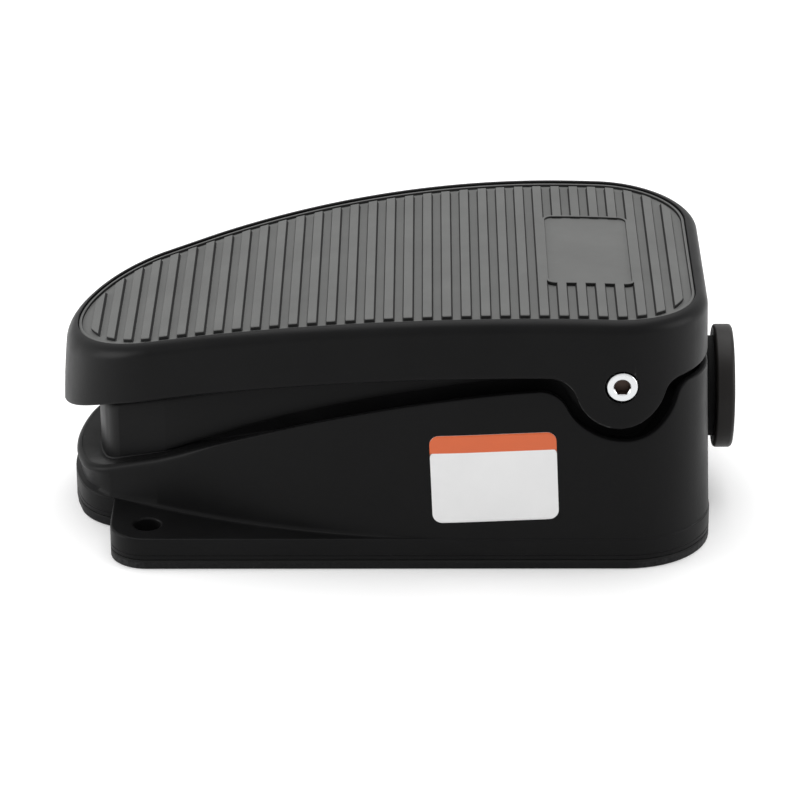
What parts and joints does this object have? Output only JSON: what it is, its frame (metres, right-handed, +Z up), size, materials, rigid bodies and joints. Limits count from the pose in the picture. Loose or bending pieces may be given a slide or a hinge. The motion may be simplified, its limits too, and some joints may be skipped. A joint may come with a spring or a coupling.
{
  "type": "industrial foot switch",
  "caption": "Industrial foot switch: ribbed treadle hinged near the heel, sprung over a closed base with mounting ears and a plugged conduit entry.",
  "frame": {"origin": "middle of the underside of the bottom plate, on the centre line, half way between toe and heel", "axes": "+Z up, +X from the toe to the heel, Y across; the unit stands on the plane z = 0"},
  "size_m": [0.1785, 0.1006, 0.0696],
  "materials": {
    "housing": "satin black die casting, lightly textured enamel",
    "treadle_body": "satin black enamel, slightly glossier on the lip",
    "tread": "matte charcoal moulded rubber",
    "plate": "zinc-plated sheet steel",
    "gasket": "black gasket rubber",
    "screws": "bright plated steel",
    "plug": "black moulded plastic, slightly warm",
    "switch_case": "dark phenolic case",
    "contacts": "bare brass blades",
    "guide": "sintered bronze",
    "bush": "natural nylon",
    "rod": "natural acetal",
    "spring": "bare spring steel",
    "lever": "stainless strip",
    "button": "red-brown moulded button",
    "earth": "green-dyed plated steel",
    "plate_paint": "black painted sheet steel"
  },
  "bodies": {
    "base": {"base_housing": "housing", "bottom_plate": "plate_paint", "base_gasket": "gasket", "plate_screws": "screws", "conduit_plug": "plug", "plug_seal": "gasket", "hinge_screws": "screws", "snap_switch": "switch_case", "switch_terminals": "contacts", "switch_bracket": "plate", "bracket_screws": "screws", "switch_screws": "screws", "lever_pin": "screws", "plunger_guide": "guide", "plunger_seal": "gasket", "stop_bumpers": "gasket", "earth_screw": "earth", "return_spring": "spring"},
    "treadle": {"treadle": "treadle_body", "tread_pad": "tread", "hinge_bushes": "bush", "actuator_screw": "screws", "lock_nut": "screws", "stop_bolt": "screws", "stop_washer": "gasket"},
    "plunger": {"plunger": "rod", "retaining_ring": "spring"},
    "switch_lever": {"switch_lever": "lever"},
    "switch_button": {"switch_button": "button"}
  },
  "joints": [
    {"name": "treadle_hinge", "type": "hinge", "parent": "base", "child": "treadle", "pos_m": [0.0598, 0, 0.0518], "axis": [0, -1, 0], "range_deg": [0, 5], "stiffness_Nm_per_rad": 8, "springref_deg": -8.59, "deforming": ["return_spring"]},
    {"name": "plunger_slide", "type": "slide", "parent": "base", "child": "plunger", "axis": [0, 0, -1], "range_m": [0, 0.0052]},
    {"name": "lever_hinge", "type": "hinge", "parent": "base", "child": "switch_lever", "pos_m": [-0.018, 0, 0.0296], "axis": [0, 1, 0], "range_deg": [0, 14]},
    {"name": "button_slide", "type": "slide", "parent": "base", "child": "switch_button", "axis": [0, 0, -1], "range_m": [0, 0.0011]}
  ],
  "couplings": [
    {"joint": "plunger_slide", "follows": "treadle_hinge", "m_per_rad": 0.0578},
    {"joint": "lever_hinge", "follows": "treadle_hinge", "ratio": 2.7276},
    {"joint": "button_slide", "follows": "treadle_hinge", "m_per_rad": 0.011459}
  ]
}
